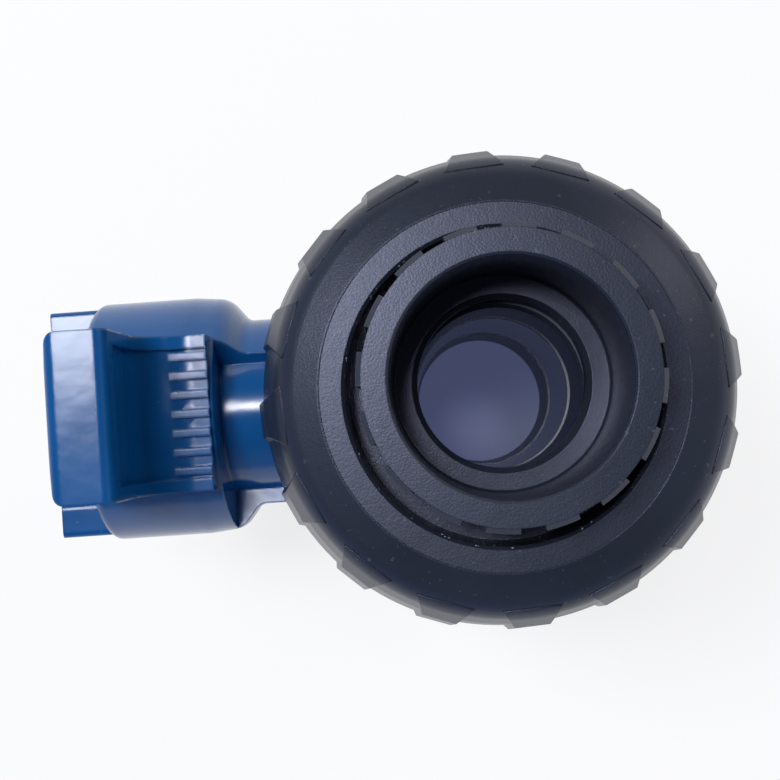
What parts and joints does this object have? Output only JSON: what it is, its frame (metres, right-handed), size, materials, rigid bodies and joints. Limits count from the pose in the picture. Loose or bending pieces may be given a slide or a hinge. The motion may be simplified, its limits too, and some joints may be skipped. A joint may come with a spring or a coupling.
{
  "type": "true-union ball valve",
  "caption": "Plastic true-union ball valve with solvent-weld sockets, knurled union nuts, a floating ball in adjustable seats and a T-handle that doubles as the seat wrench.",
  "frame": {"origin": "centre of the lower socket's mouth, on the end plane that the valve stands on", "axes": "+Z along the pipe axis from the lower to the upper socket; the stem points along -X; +Y completes the right-handed frame"},
  "size_m": [0.1139, 0.0748, 0.12],
  "materials": {
    "charcoal_upvc": "satin moulded PVC-U, dark charcoal with a blue cast",
    "grey_upvc": "machined and polished PVC-U",
    "ptfe": "turned white PTFE",
    "epdm": "moulded black EPDM",
    "blue_abs": "glossy moulded blue ABS"
  },
  "bodies": {
    "valve_body": {"body": "charcoal_upvc", "seat_lower": "ptfe", "seat_cushion_lower": "epdm", "face_o_ring_lower": "epdm"},
    "rotor": {"ball": "grey_upvc", "stem": "grey_upvc", "stem_thrust_washer": "ptfe", "stem_o_ring_inner": "epdm", "stem_o_ring_outer": "epdm"},
    "handle": {"handle": "blue_abs"},
    "carrier": {"seat_carrier": "charcoal_upvc", "seat_upper": "ptfe", "seat_cushion_upper": "epdm", "carrier_o_ring": "epdm", "face_o_ring_upper": "epdm"},
    "upper_end": {"end_connector_upper": "charcoal_upvc"},
    "upper_nut": {"union_nut_upper": "charcoal_upvc"},
    "lower_end": {"end_connector_lower": "charcoal_upvc"},
    "lower_nut": {"union_nut_lower": "charcoal_upvc"}
  },
  "joints": [
    {"name": "handle_turn", "type": "hinge", "parent": "valve_body", "child": "rotor", "pos_m": [0, 0, 0.06], "axis": [1, 0, 0], "range_deg": [0, 90]},
    {"name": "handle_pull", "type": "slide", "parent": "rotor", "child": "handle", "axis": [-1, 0, 0], "range_m": [0, 0.019]},
    {"name": "carrier_adjust", "type": "hinge", "parent": "valve_body", "child": "carrier", "pos_m": [0, 0, 0.084], "axis": [0, 0, 1], "range_deg": [-30, 30]},
    {"name": "upper_union_travel", "type": "slide", "parent": "valve_body", "child": "upper_end", "axis": [0, 0, 1], "range_m": [0, 0.012]},
    {"name": "upper_nut_turn", "type": "hinge", "parent": "upper_end", "child": "upper_nut", "pos_m": [0, 0, 0.097], "axis": [0, 0, 1], "range_deg": [0, 1080]},
    {"name": "lower_union_travel", "type": "slide", "parent": "valve_body", "child": "lower_end", "axis": [0, 0, -1], "range_m": [0, 0.012]},
    {"name": "lower_nut_turn", "type": "hinge", "parent": "lower_end", "child": "lower_nut", "pos_m": [0, 0, 0.023], "axis": [0, 0, -1], "range_deg": [0, 1080]}
  ],
  "couplings": [
    {"joint": "upper_union_travel", "follows": "upper_nut_turn", "m_per_rad": 0.00063662},
    {"joint": "lower_union_travel", "follows": "lower_nut_turn", "m_per_rad": 0.00063662}
  ]
}
